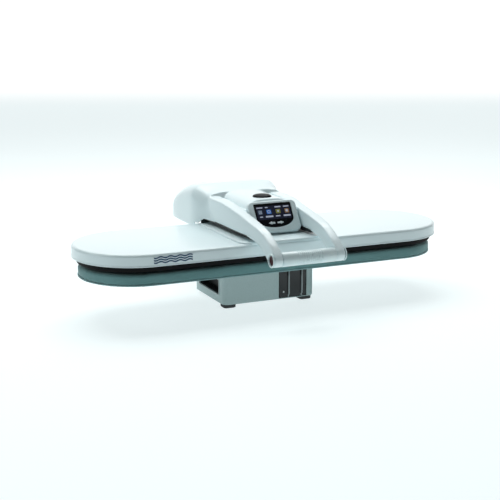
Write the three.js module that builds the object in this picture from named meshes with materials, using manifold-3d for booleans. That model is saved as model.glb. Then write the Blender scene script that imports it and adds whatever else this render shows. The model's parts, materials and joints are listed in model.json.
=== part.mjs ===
// Large steam ironing press, closed: a wide heated head on a hinged arm comes down on a padded board.
// Units are millimetres. X runs along the plates, Y from front to back and Z up; the feet stand on Z = 0.
// Y = 0 is the head's front edge here, and the last lines move the press to the middle of its own depth.
import * as THREE from "three";
import { ParametricGeometry } from "three/addons/geometries/ParametricGeometry.js";
import { mergeVertices } from "three/addons/utils/BufferGeometryUtils.js";
import Module from "manifold-3d";

const wasm = await Module();
wasm.setup();

// Driving dimensions
const GAP = 0.3; // between pieces that touch
const HEAD = { length: 1010, depth: 318, bottom: 157.3, top: 188, wall: 3, roof: 4 };
const PLINTH = { half: 124, front: 2, back: 285, top: 193 };
const HOT_PLATE = { inset: 12, bottom: 143.5, floor: 6.5, rim: 6 };
const BOARD = { inset: 17, bottom: 107.6, top: 111.6 };
const PAD = { inset: 13, bottom: 107.4, top: 138.8 };
const BASE = { half: 129.3, front: 110, back: 309, bottom: 10, top: 98, corner: 14, wall: 3 };
const TOWER = { half: 75, front: 325, back: 382, top: 170 };
const TANK = { left: 28, right: 107, back: 292, bottom: 12.6, top: 94, wall: 2.5 };
const GRIP_HOLE = { front: 143, back: 277, bottom: 32, top: 70 };
const HINGE = { y: 372, z: 196, shaft: 8 };
const PIVOT = { y: 159, z: 210, pin: 4.7 };
const HANDLE = { y: -101, z: 169, tube: 17.5, eye: 18, bore: 13.4 };
const RAIL = { inner: 72, outer: 96, headFlare: 12.6, footFlare: 11 };
const HOOD = { front: 218, full: 345, turn: 340, back: 500, lean: 0.65, low: 178 };
const HOOD_FOOT = { arm: 206.5, armEnd: 279, head: 191.5, headStart: 303, step: 321.5 };
const SPINE = { half: 71.4, bottom: 206, top: 277, front: 122, back: 290 };
const SCREEN = { y: 100, z: 267.5, tilt: THREE.MathUtils.degToRad(58) };
const CONSOLE = { half: 68, rise: 9, fall: 78, thick: 13 };
const BEAM = { half: 31, sheet: 3, front: 105, back: 390, top: 232, bottom: 203 };
const DOME = { y: 158, radius: 24.5 };
const TRAY = { bottom: 198.2, top: 204.6, front: 30, middle: 79, back: 300 };

// Solids: three.js geometry in, manifold solids for cutting and joining, plain geometry out.
function solid(geometry) {
  const bare = new THREE.BufferGeometry();
  bare.setAttribute("position", geometry.getAttribute("position"));
  if (geometry.index) bare.setIndex(geometry.index);
  const merged = mergeVertices(bare, 1e-4);
  const corners = merged.index.array;
  const triangles = [];
  for (let i = 0; i < corners.length; i += 3) {
    const [a, b, c] = corners.slice(i, i + 3);
    if (a !== b && b !== c && c !== a) triangles.push(a, b, c);
  }
  return new wasm.Manifold(
    new wasm.Mesh({
      numProp: 3,
      vertProperties: new Float32Array(merged.attributes.position.array),
      triVerts: new Uint32Array(triangles),
    }),
  );
}

function cut(body, ...tools) {
  return tools.reduce((rest, tool) => rest.subtract(tool), body);
}

function join(body, ...others) {
  return others.reduce((whole, other) => whole.add(other), body);
}

function geometryOf(body) {
  const mesh = body.getMesh();
  const geometry = new THREE.BufferGeometry();
  geometry.setAttribute("position", new THREE.BufferAttribute(mesh.vertProperties, 3));
  geometry.setIndex(new THREE.BufferAttribute(mesh.triVerts, 1));
  return geometry;
}

function block(x0, x1, y0, y1, z0, z1) {
  const geometry = new THREE.BoxGeometry(x1 - x0, y1 - y0, z1 - z0);
  return solid(geometry.translate((x0 + x1) / 2, (y0 + y1) / 2, (z0 + z1) / 2));
}

function extrusion(shape, depth, bevel, curveSegments) {
  const geometry = new THREE.ExtrudeGeometry(shape, {
    depth: depth - 2 * bevel,
    bevelEnabled: bevel > 0,
    bevelThickness: bevel,
    bevelSize: bevel,
    bevelOffset: -bevel,
    bevelSegments: bevel > 5 ? 2 : 1,
    curveSegments,
  });
  return geometry.translate(0, 0, bevel);
}

// An outline in X and Y, raised from z0 to z1.
function raised(shape, z0, z1, bevel = 0, curveSegments = 8) {
  return solid(extrusion(shape, z1 - z0, bevel, curveSegments).translate(0, 0, z0));
}

// An outline in Y and Z, run across from x0 to x1.
function acrossGeometry(shape, x0, x1, bevel = 0, curveSegments = 8) {
  const turn = new THREE.Matrix4().makeBasis(
    new THREE.Vector3(0, 1, 0),
    new THREE.Vector3(0, 0, 1),
    new THREE.Vector3(1, 0, 0),
  );
  return extrusion(shape, x1 - x0, bevel, curveSegments).applyMatrix4(turn).translate(x0, 0, 0);
}

function across(shape, x0, x1, bevel = 0, curveSegments = 8) {
  return solid(acrossGeometry(shape, x0, x1, bevel, curveSegments));
}

// A round bar or hole along an axis, from one end to the other.
function round(radius, from, to, sides = 16) {
  const start = new THREE.Vector3(...from);
  const along = new THREE.Vector3(...to).sub(start);
  const geometry = new THREE.CylinderGeometry(radius, radius, along.length(), sides);
  const turn = new THREE.Quaternion().setFromUnitVectors(
    new THREE.Vector3(0, 1, 0),
    along.clone().normalize(),
  );
  const middle = start.addScaledVector(along, 0.5);
  return solid(geometry.applyQuaternion(turn).translate(middle.x, middle.y, middle.z));
}

// A closed turned profile of [radius, height] points, stood on a point along +Z.
function turned(profile, x, y, z, sides = 24) {
  const points = profile.map(([radius, height]) => new THREE.Vector2(radius, height));
  const geometry = new THREE.LatheGeometry(points, sides).rotateX(Math.PI / 2);
  return solid(geometry.translate(x, y, z));
}

// A tube that follows a smooth line through points.
function tubeAlong(points, radius, steps, sides = 8) {
  const line = new THREE.CatmullRomCurve3(points.map((p) => new THREE.Vector3(...p)));
  const section = new THREE.Shape().absarc(0, 0, radius, 0, 2 * Math.PI);
  const geometry = new THREE.ExtrudeGeometry(section, {
    extrudePath: line,
    steps,
    curveSegments: sides / 2,
    bevelEnabled: false,
  });
  return solid(geometry);
}

// A coil spring about a line from one point along a unit axis.
class Helix extends THREE.Curve {
  constructor(start, axis, length, radius, turns) {
    super();
    Object.assign(this, { start, axis, length, radius, turns });
    const aside = Math.abs(axis.z) > 0.5 ? new THREE.Vector3(1, 0, 0) : new THREE.Vector3(0, 0, 1);
    this.side = aside.cross(axis).normalize();
    this.other = axis.clone().cross(this.side);
  }

  getPoint(t, target = new THREE.Vector3()) {
    const angle = 2 * Math.PI * this.turns * t;
    return target
      .copy(this.start)
      .addScaledVector(this.axis, this.length * t)
      .addScaledVector(this.side, this.radius * Math.cos(angle))
      .addScaledVector(this.other, this.radius * Math.sin(angle));
  }
}

function coil(start, axis, length, radius, wire, turns) {
  const path = new Helix(
    new THREE.Vector3(...start).addScaledVector(new THREE.Vector3(...axis), wire),
    new THREE.Vector3(...axis),
    length - 2 * wire,
    radius,
    turns,
  );
  const section = new THREE.Shape().absarc(0, 0, wire, 0, 2 * Math.PI);
  const steps = turns * 9;
  const options = { extrudePath: path, steps, curveSegments: 2, bevelEnabled: false };
  return solid(new THREE.ExtrudeGeometry(section, options));
}

// Outlines
function roundedBox(x0, x1, y0, y1, radius) {
  const shape = new THREE.Shape();
  shape.absarc(x1 - radius, y1 - radius, radius, 0, Math.PI / 2);
  shape.absarc(x0 + radius, y1 - radius, radius, Math.PI / 2, Math.PI);
  shape.absarc(x0 + radius, y0 + radius, radius, Math.PI, 1.5 * Math.PI);
  shape.absarc(x1 - radius, y0 + radius, radius, 1.5 * Math.PI, 2 * Math.PI);
  return shape;
}

// The long plates' outline, with fully rounded ends, set in from the head's own outline.
function plateOutline(inset) {
  const radius = HEAD.depth / 2 - inset;
  const reach = HEAD.length / 2 - HEAD.depth / 2;
  const shape = new THREE.Shape();
  shape.absarc(reach, HEAD.depth / 2, radius, -Math.PI / 2, Math.PI / 2);
  shape.absarc(-reach, HEAD.depth / 2, radius, Math.PI / 2, 1.5 * Math.PI);
  return shape;
}

function plate(inset, z0, z1, bevel = 0) {
  return raised(plateOutline(inset), z0, z1, bevel, 12);
}

// Base: feet, floor, casing, tower and what they hold
function foot(x, y) {
  const size = 17;
  return raised(roundedBox(x - size, x + size, y - size, y + size, 9), 0, BASE.bottom - GAP, 2, 3);
}

function floorPlate() {
  const edge = BASE.wall + GAP;
  const main = roundedBox(
    -BASE.half + edge,
    BASE.half - edge,
    BASE.front + edge,
    BASE.back - edge,
    BASE.corner - edge,
  );
  const tail = roundedBox(-68, 68, BASE.back - 30, TOWER.back - edge, 9);
  const level = [BASE.bottom, BASE.bottom + 2, 0, 3];
  return join(raised(main, ...level), raised(tail, ...level));
}

function baseShell() {
  const { half, front, back, bottom, top, corner, wall } = BASE;
  const outer = raised(roundedBox(-half, half, front, back, corner), bottom, top, 0, 5);
  const inside = roundedBox(-half + wall, half - wall, front + wall, back - wall, corner - wall);
  const hollow = raised(inside, bottom - 1, top + 1, 0, 5);
  const tankWay = block(TANK.left - 1, TANK.right + 1, front - 1, front + 20, 12, TANK.top + 1);
  const capWay = block(48, 86, front - 1, front + wall + 1, TANK.top, top + 1);
  const grips = block(
    -half - 1,
    half + 1,
    GRIP_HOLE.front,
    GRIP_HOLE.back,
    GRIP_HOLE.bottom,
    GRIP_HOLE.top,
  );
  const towerWay = block(-70, 70, back - 10, back + 1, bottom - 1, 80);
  return cut(outer, hollow, tankWay, capWay, grips, towerWay);
}

// A pocket behind each side's lifting hole. The right one is shallow, because the tank is beside it.
function gripPocket(side, depth) {
  const outer = BASE.half - BASE.wall - GAP;
  const inner = outer - depth;
  const { front, back, bottom, top } = GRIP_HOLE;
  const sheet = 2;
  const x = (a, b) => (side < 0 ? [-b, -a] : [a, b]);
  const shell = block(
    ...x(inner, outer),
    front - sheet,
    back + sheet,
    bottom - sheet,
    top + sheet,
  );
  const [open0, open1] = x(inner + sheet, outer + 1);
  return cut(shell, block(open0, open1, front, back, bottom, top));
}

function topDeck() {
  const { half, front, back, top, corner } = BASE;
  return raised(roundedBox(-half, half, front, back, corner), top + GAP, top + 3.5, 0, 5);
}

function towerShell() {
  const { half, front, back, top } = TOWER;
  const { wall, bottom } = BASE;
  const start = BASE.back + GAP;
  const outer = join(
    raised(roundedBox(-half, half, front - 1, back, 12), bottom, top, 0, 4),
    block(-half, half, start, front + 20, bottom, BASE.top),
  );
  const hollow = join(
    raised(roundedBox(-half + wall, half - wall, front + 2, back - wall, 9), bottom - 1, top + 1, 0, 4),
    block(-half + wall, half - wall, start - 1, front + 20, bottom - 1, BASE.top - wall),
  );
  const inletWay = block(-14.3, 14.3, back - 10, back + 1, 29.7, 50.3);
  return cut(outer, hollow, inletWay);
}

function hingeBracket(side) {
  const low = BASE.bottom + 2 + GAP;
  const front = HINGE.y - 25;
  const back = HINGE.y + 5;
  const shape = new THREE.Shape();
  shape.moveTo(front, low);
  shape.lineTo(back, low);
  shape.lineTo(back, 174);
  shape.absarc(HINGE.y, HINGE.z, 14, 0, Math.PI);
  shape.lineTo(front, 140);
  const web = across(shape, 52, 58);
  const toe = block(52, 67, front, back, low, low + 4);
  const hole = round(HINGE.shaft + GAP, [40, HINGE.y, HINGE.z], [80, HINGE.y, HINGE.z], 20);
  const bracket = cut(join(web, toe), hole);
  return side > 0 ? bracket : bracket.mirror([1, 0, 0]);
}

function hingeShaft() {
  return round(HINGE.shaft, [-64, HINGE.y, HINGE.z], [64, HINGE.y, HINGE.z], 20);
}

function torsionSpring(side) {
  const start = side > 0 ? 34 : -50;
  return coil([start, HINGE.y, HINGE.z], [1, 0, 0], 16, 12.5, 1.5, 4);
}

function boiler() {
  const body = raised(roundedBox(-96, -22, 196, 286, 10), 16, 74, 3, 3);
  const dome = turned([[0, 0], [26, 0], [26, 6], [18, 13], [0, 15]], -59, 241, 73.5, 16);
  const spout = round(5, [-45, 280, 62], [-45, 300, 62], 12);
  return join(body, dome, spout);
}

function pump() {
  const barrel = round(17, [-92, 150, 38], [-42, 150, 38], 16);
  const coilCase = block(-82, -52, 132, 168, 20, 56);
  const nose = round(5, [-43, 150, 38], [-30, 150, 38], 12);
  return join(barrel, coilCase, nose);
}

function controlBoard() {
  return block(8, 9.6, 135, 285, 18, 90);
}

function mainsInlet() {
  const body = block(-14, 14, TOWER.back - 20, TOWER.back, 30, 50);
  const flange = block(-17, 17, TOWER.back + GAP, TOWER.back + 2.3, 27, 53);
  const socket = block(-11.5, 11.5, TOWER.back - 14, TOWER.back + 5, 32.5, 47.5);
  return cut(join(body, block(-13, 13, TOWER.back - 1, TOWER.back + 1, 31, 49), flange), socket);
}

function steamHoseBase() {
  const points = [
    [-45, 303, 62],
    [-45, 318, 62],
    [-44, 342, 70],
    [-42, 356, 100],
    [-42, 357, 140],
    [-42, 352, 166],
  ];
  return tubeAlong(points, 4, 22);
}

function tankSeat() {
  return turned([[4, 0], [9, 0], [9, 8], [4, 8], [4, 0]], 67, 299.5, 30, 12)
    .translate([-67, -299.5, -30])
    .rotate([90, 0, 0])
    .translate([67, 303, 30]);
}

// Water tank, drawn out to the front
function waterTank() {
  const { left, right, back, bottom, top, wall } = TANK;
  const front = BASE.front;
  const outer = join(
    block(left, right, front, back, bottom, top),
    ...[55, 93].map((x) => round(4, [x, front, bottom + 4], [x, front, top - 4], 12)),
  );
  const hollow = block(
    left + wall,
    right - wall,
    front + wall + 3,
    back - wall,
    bottom + wall,
    top - wall,
  );
  const fill = round(14, [67, 150, top - 5], [67, 150, top + 1], 20);
  const outlet = round(3, [67, back - 5, 30], [67, back + 1, 30], 12);
  return cut(outer, hollow, fill, outlet);
}

function tankCap() {
  const profile = [[0, -3], [13.5, -3], [13.5, 0.4], [17, 0.4], [17, 2.8], [0, 2.8]];
  return turned(profile, 67, 150, TANK.top, 20);
}

function tankValve() {
  return round(5.5, [67, TANK.back + GAP, 30], [67, TANK.back + 2.5, 30], 12);
}

// Board and its padding
function boardBeam(y) {
  return raised(roundedBox(-340, 340, y - 16, y + 16, 5), BASE.top + 3.8, BASE.top + 9.3, 0, 2);
}

function boardPlate() {
  return plate(BOARD.inset, BOARD.bottom, BOARD.top);
}

// The cushion wraps the board's edge, so the board sits in a shallow recess under it.
function boardPad() {
  const cushion = plate(PAD.inset, PAD.bottom, PAD.top, 6);
  return cut(cushion, plate(BOARD.inset - GAP, PAD.bottom - 1, BOARD.top + GAP));
}

// Pressing head
function plinthOutline() {
  const { half, front, back } = PLINTH;
  const round = 40;
  const shape = new THREE.Shape();
  shape.moveTo(half, back);
  shape.lineTo(-half, back);
  shape.absarc(-half + round, front + round, round, Math.PI, 1.5 * Math.PI);
  shape.absarc(half - round, front + round, round, 1.5 * Math.PI, 2 * Math.PI);
  return shape;
}

function headCover() {
  const { bottom, top, wall, roof } = HEAD;
  const outer = join(
    plate(0, bottom, top, 7),
    plate(0, bottom, bottom + 12),
    raised(plinthOutline(), top - 2, PLINTH.top, 2, 4),
  );
  return cut(outer, plate(wall, bottom - 1, top - roof, 0));
}

function heatShield() {
  return plate(HEAD.wall + 0.4, HEAD.bottom, HEAD.bottom + 1.5);
}

function insulation() {
  return plate(40, HEAD.bottom + 1.8, HEAD.bottom + 16);
}

function steamHoles() {
  const holes = [];
  for (let row = 0; row < 3; row += 1) {
    const count = row === 1 ? 7 : 6;
    for (let i = 0; i < count; i += 1) {
      const x = (i - (count - 1) / 2) * 112;
      const y = HEAD.depth / 2 + (row - 1) * 76;
      holes.push(round(2.5, [x, y, 140], [x, y, 160], 5));
    }
  }
  return holes;
}

function heatedPlate() {
  const { inset, bottom, floor, rim } = HOT_PLATE;
  const outer = plate(inset, bottom, HEAD.bottom - GAP, 1.5);
  const tray = plate(inset + rim, bottom + floor, HEAD.bottom);
  return cut(outer, tray, ...steamHoles());
}

function heatingElement() {
  const z = 153.6;
  const near = HEAD.depth / 2 - 54;
  const far = HEAD.depth / 2 + 54;
  const points = [
    [-60, near, z],
    [-200, near, z],
    [-340, near, z],
    [-398, HEAD.depth / 2, z],
    [-340, far, z],
    [0, far, z],
    [340, far, z],
    [398, HEAD.depth / 2, z],
    [340, near, z],
    [200, near, z],
    [60, near, z],
  ];
  return tubeAlong(points, 3, 56, 6);
}

function pivotBracket() {
  const base = PLINTH.top + GAP;
  const ear = new THREE.Shape();
  ear.moveTo(PIVOT.y - 14, base);
  ear.lineTo(PIVOT.y + 14, base);
  ear.absarc(PIVOT.y, PIVOT.z, 10, 0, Math.PI);
  const sole = block(-25, 25, PIVOT.y - 22, PIVOT.y + 22, base, base + 3);
  const hole = round(PIVOT.pin + GAP, [-60, PIVOT.y, PIVOT.z], [60, PIVOT.y, PIVOT.z], 16);
  return cut(join(sole, across(ear, 20, 25), across(ear, -25, -20)), hole);
}

function steamInlet() {
  const base = PLINTH.top + GAP;
  return cut(
    turned([[0, 0], [11, 0], [11, 4], [6, 5], [6, 12], [0, 12]], -48, 232, base, 12),
    round(3, [-48, 232, base + 5], [-48, 232, base + 20], 8),
  );
}

// Arm: hood over the hinge, spine, side rails, beam
function smooth(value, from, to) {
  return THREE.MathUtils.smoothstep(value, from, to);
}

// A solid through closed sections at stations along Y. pointAt gives x and z at a share of the way round,
// and the first and last sections are closed at their own middle.
function loft(stations, slices, pointAt, slant = () => 0) {
  const last = stations.length - 1;
  const rows = stations.length + 1;
  const surface = new ParametricGeometry(
    (u, v, target) => {
      const row = Math.round(v * rows) - 1;
      const station = stations[THREE.MathUtils.clamp(row, 0, last)];
      const [x, z] = row < 0 || row > last ? [0, pointAt(station, 0)[1] + 20] : pointAt(station, u % 1);
      target.set(x, station + slant(station, z), z);
    },
    slices,
    rows,
  );
  const body = solid(surface);
  return body.volume() < 0 ? solid(flipped(surface)) : body;
}

function flipped(geometry) {
  const corners = geometry.index.array;
  for (let i = 0; i < corners.length; i += 3) {
    [corners[i + 1], corners[i + 2]] = [corners[i + 2], corners[i + 1]];
  }
  return geometry;
}

// A rounded arch over a flat bottom: squareness 2 is an ellipse, and a high one nearly a box.
function arch(u, half, low, high, squareness, lean) {
  const angle = 2 * Math.PI * u;
  if (u > 0.5) return [half * Math.cos(angle), low];
  const power = 2 / squareness;
  const across = Math.sign(Math.cos(angle)) * Math.abs(Math.cos(angle)) ** power;
  const up = Math.abs(Math.sin(angle)) ** power;
  return [half * across * (1 - lean * up), low + (high - low) * up];
}

// Half of the hood's outline, from its lower edge over the shoulder to the middle, where it meets the
// rails and where it is at its full width behind the head.
const HOOD_FRONT = [[108, 178], [108, 200], [108, 228], [107.5, 250], [103, 266], [88, 274], [48, 277], [0, 277]];
const HOOD_FULL = [[128, 178], [128, 215], [128, 244], [125, 265], [115, 281], [98, 289], [55, 291], [0, 291]];

function hoodPoint(inset, low) {
  const half = HOOD_FRONT.length - 1;
  return (y, u) => {
    const step = Math.round(u * (2 * half + 1));
    const [index, side] = step <= half ? [step, 1] : [2 * half - step, -1];
    if (index < 0) return [0, low];
    const wide = smooth(y, HOOD.front, HOOD.full);
    const t = Math.min(1, Math.max(0, y - HOOD.turn) / (HOOD.back - inset - HOOD.turn));
    const drop = 1 - (1 - t ** 1.8) ** 0.8;
    const [x, z] = [0, 1].map((i) => THREE.MathUtils.lerp(HOOD_FRONT[index][i], HOOD_FULL[index][i], wide));
    const narrow = (1 - inset / 118) * (1 - 0.08 * drop ** 3);
    const height = (z - HOOD.low) * (1 - inset / 105) * (1 - 0.58 * drop);
    return [side * x * narrow, index === 0 ? low : HOOD.low + height];
  };
}

// The hood's front edge leans back as it rises, and the rails end along the same line.
function hoodSlant(y, z) {
  const share = Math.max(0, 1 - (y - HOOD.front) / (HOOD.turn - HOOD.front));
  return HOOD.lean * Math.max(0, z - 195) * share;
}

function hoodLoft(inset, low, front, back) {
  const stations = [front, 240, 261, 282, 303, 324, 345, 372, 398, 422, 444, 464, 481, back - 5, back];
  return loft(stations, 2 * HOOD_FRONT.length - 1, hoodPoint(inset, low), hoodSlant);
}

function spineLoft(inset, low, back) {
  const slope = 1 / Math.tan(SCREEN.tilt);
  const front = SPINE.front + inset * 1.2;
  const slant = (y, z) => (y === front ? (z - SPINE.top) * slope : 0);
  const point = (y, u) => arch(u, SPINE.half - inset, low, SPINE.top - inset, 3.6, 0);
  return loft([front, back], 28, point, slant);
}

function armHood() {
  const wall = 3;
  const outer = join(
    hoodLoft(0, HOOD.low, HOOD.front, HOOD.back),
    spineLoft(0, SPINE.bottom, SPINE.back),
  );
  const hollow = join(
    hoodLoft(wall, HOOD.low - 10, HOOD.front + wall, HOOD.back - wall),
    spineLoft(wall, SPINE.bottom - 10, SPINE.back),
  );
  const { arm, armEnd, head, headStart, step } = HOOD_FOOT;
  const corners = [[100, 150], [step, 150], [step, head], [headStart, head], [armEnd, arm], [100, arm]];
  const overHead = across(new THREE.Shape(corners.map(([y, z]) => new THREE.Vector2(y, z))), -200, 200);
  const domeHole = round(DOME.radius + 0.7, [0, DOME.y, 270], [0, DOME.y, 300], 24);
  return cut(outer, hollow, overHead, domeHole);
}

// The dark tray that closes the arm from below, behind the side rails' lower edges. It is open in the
// middle for the beam and the head's pivot.
function armTray() {
  const shape = new THREE.Shape();
  const corner = (x, y) => new THREE.Vector2(x, y);
  const right = [
    corner(70, TRAY.middle),
    corner(76, TRAY.front),
    corner(91, TRAY.front),
    corner(97, 75),
    corner(101, 130),
    corner(101, TRAY.back),
    corner(64, TRAY.back),
    corner(64, HOOD.front - 1),
    corner(36, HOOD.front - 1),
    corner(36, 95),
  ];
  const left = right.map((p) => corner(-p.x, p.y)).reverse();
  shape.setFromPoints([...right, ...left]);
  return raised(shape, TRAY.bottom, TRAY.top);
}

function railOutline() {
  const points = (list) => list.map(([y, z]) => new THREE.Vector2(y, z));
  const eye = HANDLE.eye;
  const shape = new THREE.Shape();
  const rearAt = (z) => HOOD.front - 2 * GAP + hoodSlant(HOOD.front, z);
  shape.moveTo(rearAt(206.5), 206.5);
  shape.lineTo(rearAt(267), 267);
  shape.splineThru(
    points([
      [171, 264],
      [122, 257],
      [60, 248],
      [0, 237],
      [-33, 229],
      [-58, 219],
      [-87, 203],
      [HANDLE.y - eye * Math.SQRT1_2, HANDLE.z + eye * Math.SQRT1_2],
    ]),
  );
  shape.absarc(HANDLE.y, HANDLE.z, eye, 0.75 * Math.PI, 1.75 * Math.PI);
  shape.splineThru(
    points([
      [-72, 164],
      [-58, 175],
      [-36, 189],
      [-12, 197],
      [10, 201],
      [30, 205.7],
    ]),
  );
  return shape;
}

// The rails spread outwards from the handle to the hood, sooner at the foot of their outer face.
function sideRail(side) {
  const { inner, outer, headFlare, footFlare } = RAIL;
  const geometry = acrossGeometry(railOutline(), inner, outer, 2.5, 3);
  const place = geometry.getAttribute("position");
  for (let i = 0; i < place.count; i += 1) {
    const share = (place.getX(i) - inner) / (outer - inner);
    const head = headFlare * smooth(place.getY(i), 20, 245);
    const foot = footFlare * smooth(place.getY(i), -60, 60);
    const spread = THREE.MathUtils.lerp(foot, head, smooth(place.getZ(i), 207, 268));
    place.setX(i, place.getX(i) + spread * share);
  }
  const seat = (radius, x0, x1) =>
    round(radius, [x0, HANDLE.y, HANDLE.z], [x1, HANDLE.y, HANDLE.z], 24);
  const rail = cut(solid(geometry), seat(HANDLE.bore, 78, 120), seat(6, 60, 90));
  return side > 0 ? rail : rail.mirror([1, 0, 0]);
}

function armBeam() {
  const { half, sheet, front, back, top, bottom } = BEAM;
  const side = new THREE.Shape();
  side.moveTo(front, bottom);
  side.lineTo(HINGE.y - 34, bottom);
  side.absarc(HINGE.y, HINGE.z, 18, 1.1 * Math.PI, 2 * Math.PI);
  side.lineTo(back, top);
  side.lineTo(front, top);
  const channel = cut(
    across(side, -half, half),
    block(-half + sheet, half - sheet, front - 1, back + 1, 150, top - sheet),
  );
  const shaftHole = round(13, [-50, HINGE.y, HINGE.z], [50, HINGE.y, HINGE.z], 20);
  const pinHole = round(PIVOT.pin + GAP, [-50, PIVOT.y, PIVOT.z], [50, PIVOT.y, PIVOT.z], 16);
  return cut(channel, shaftHole, pinHole);
}

function hingeBush(side) {
  const inner = HINGE.shaft + GAP;
  const profile = [[inner, 0], [12.7, 0], [12.7, 4], [15.5, 4], [15.5, 6.5], [inner, 6.5], [inner, 0]];
  return turned(profile, 0, 0, 0, 20)
    .rotate([0, side > 0 ? 90 : -90, 0])
    .translate([side * 27, HINGE.y, HINGE.z]);
}

function pivotPin() {
  return round(PIVOT.pin, [-35, PIVOT.y, PIVOT.z], [35, PIVOT.y, PIVOT.z], 16);
}

function levellingSpring(y) {
  const low = PLINTH.top + 2;
  return coil([0, y, low], [0, 0, 1], BEAM.top - BEAM.sheet - GAP - low, 7, 1, 5);
}

function steamHoseArm() {
  const points = [
    [-40, 352, 215],
    [-41, 325, 232],
    [-44, 285, 242],
    [-47, 250, 240],
    [-48, 233, 226],
    [-48, 232, 212],
  ];
  return tubeAlong(points, 4, 22);
}

// Handle: a ribbed tube between the rails, with a steam button in each end
function handleTube() {
  const { tube } = HANDLE;
  const half = RAIL.inner - GAP;
  const ribs = [];
  for (let x = -30; x <= 30; x += 10) ribs.push([tube, x - 3], [tube - 0.8, x], [tube, x + 3]);
  const profile = [[13, -half], [tube, -half], ...ribs, [tube, half], [13, half], [13, -half]];
  return turned(profile, 0, 0, 0, 16).rotate([0, 90, 0]).translate([0, HANDLE.y, HANDLE.z]);
}

function handleRing(side) {
  const { eye, bore } = HANDLE;
  const profile = [[bore, 0], [eye - 0.5, 0], [eye - 0.5, 1.2], [eye - 2, 2.6], [bore, 2.6], [bore, 0]];
  return turned(profile, 0, 0, 0, 28)
    .rotate([0, 90 * side, 0])
    .translate([side * (RAIL.outer + 2.5 * GAP), HANDLE.y, HANDLE.z]);
}

function steamButton(side) {
  const profile = [[0, -16], [5, -16], [5, -6], [13, -6], [13, 0], [11, 1.2], [0, 1.8]];
  return turned(profile, 0, 0, 0, 24)
    .rotate([0, 90 * side, 0])
    .translate([side * (RAIL.outer - 1), HANDLE.y, HANDLE.z]);
}

// Console: a tilted housing between the rails, in its own plane first. Its x is along the press, its y
// climbs the slope from the screen's top edge, and its z comes out of the screen.
function ontoSlope(body) {
  const turn = THREE.MathUtils.radToDeg(SCREEN.tilt);
  return body.rotate([turn, 0, 0]).translate([0, SCREEN.y, SCREEN.z]);
}

function screenOutline(half, top, bottom) {
  const shape = new THREE.Shape();
  shape.moveTo(half, top);
  shape.lineTo(-half, top);
  shape.lineTo(-half, -44);
  shape.bezierCurveTo(-half * 0.92, -58, -half * 0.5, bottom, 0, bottom);
  shape.bezierCurveTo(half * 0.5, bottom, half * 0.92, -58, half, -44);
  return shape;
}

function arrowOutline(side, grow) {
  const shape = new THREE.Shape();
  const at = (x, y) => [side * (12 + x), -53 + y];
  const outline = [
    at(-9 - grow, -2.2 - grow),
    at(0, -2.2 - grow),
    at(0, -4.2 - grow),
    at(9.5 + 1.5 * grow, 0),
    at(0, 4.2 + grow),
    at(0, 2.2 + grow),
    at(-9 - grow, 2.2 + grow),
  ];
  shape.moveTo(...outline[0]);
  outline.slice(1).forEach((corner) => shape.lineTo(...corner));
  return shape;
}

function consoleHousing() {
  const { half, rise, fall, thick } = CONSOLE;
  const body = raised(roundedBox(-half, half, -fall, rise, 15), -thick, 0, 3.5, 4);
  const brow = new THREE.Shape([
    new THREE.Vector2(105, 270),
    new THREE.Vector2(108, 275),
    new THREE.Vector2(114, 276.7),
    new THREE.Vector2(121.3, 276.7),
    new THREE.Vector2(113, 265),
  ]);
  const glassSeat = raised(screenOutline(52.3, 1.3, -65.3), -2.3, 1, 0, 5);
  const moduleSeat = block(-46, 46, -42, -2, -9, 1);
  const keySeat = block(-24, 24, -60, -46, -7, 1);
  return join(ontoSlope(cut(body, glassSeat, moduleSeat, keySeat)), across(brow, -48, 48));
}

function displayGlass() {
  const glass = raised(screenOutline(52, 1, -65), -2, 0.2, 0, 5);
  const holes = [-1, 1].map((side) => raised(arrowOutline(side, 0.4), -3, 2));
  return ontoSlope(cut(glass, ...holes));
}

function displayModule() {
  return ontoSlope(block(-45, 45, -41, -3, -8.5, -2.4));
}

function arrowKey(side) {
  return ontoSlope(raised(arrowOutline(side, 0), -4.5, 1));
}

// Round button in the top of the spine, over its switch on the beam
function powerButton() {
  const radius = DOME.radius;
  const profile = [[0, -12], [5, -12], [5, -3], [radius, -3], [radius, 1], [20, 4], [12, 6.3], [0, 7.2]];
  return turned(profile, 0, DOME.y, SPINE.top, 24);
}

function powerSwitch() {
  const low = BEAM.top + GAP;
  return block(-10, 10, DOME.y - 6, DOME.y + 6, low, SPINE.top - 12 - 3.5);
}

// Finishes
const FINISH = {
  white: [0xeef4f5, 0.28, 0],
  warmGrey: [0x8c9e9b, 0.5, 0],
  darkPlastic: [0x1b2022, 0.45, 0],
  rubber: [0x2c2f31, 0.85, 0],
  steel: [0xa9adb0, 0.35, 1],
  spring: [0x8f9497, 0.3, 1],
  castMetal: [0x9a9d9e, 0.5, 1],
  hotPlate: [0x121416, 0.4, 0.6],
  fabric: [0x5f8f8f, 0.95, 0],
  felt: [0xd9d6c8, 1, 0],
  smoked: [0x0c1418, 0.12, 0],
  circuit: [0x1e5b3a, 0.6, 0],
  hose: [0xd8d8d2, 0.5, 0],
  nylon: [0xe6e2d6, 0.5, 0],
  glass: [0x060709, 0.05, 0],
  buttonRed: [0x3a1216, 0.3, 0],
  keyWhite: [0xe9edee, 0.35, 0],
};

const press = new THREE.Group();

function add(name, body, finish) {
  const [color, roughness, metalness] = FINISH[finish];
  const mesh = new THREE.Mesh(
    geometryOf(body),
    new THREE.MeshStandardMaterial({ color, roughness, metalness }),
  );
  mesh.name = name;
  press.add(mesh);
}

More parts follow.
